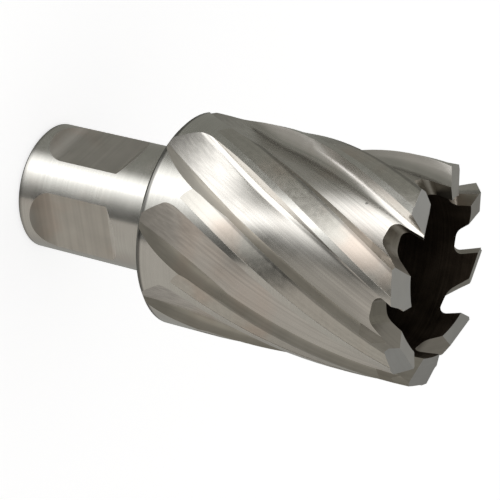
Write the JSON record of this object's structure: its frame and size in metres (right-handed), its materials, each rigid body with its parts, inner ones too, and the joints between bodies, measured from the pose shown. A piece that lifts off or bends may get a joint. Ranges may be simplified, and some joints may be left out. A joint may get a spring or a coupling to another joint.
{
  "type": "annular cutter",
  "caption": "Hollow cylindrical metal hole cutter with helical flutes, a ring of end teeth of alternating form, and a smaller round shank with two set-screw flats.",
  "frame": {"origin": "centre of the shank's end face, on the cutter's axis", "axes": "+Z along the axis from the shank to the teeth, +X out of one set-screw flat, +Y out of the other"},
  "size_m": [0.0318, 0.0318, 0.0656],
  "materials": {
    "tool_steel": "ground and milled bare high-speed steel, brushed along the flutes and round the shank"
  },
  "bodies": {
    "root": {"annular_cutter": "tool_steel"}
  },
  "joints": []
}
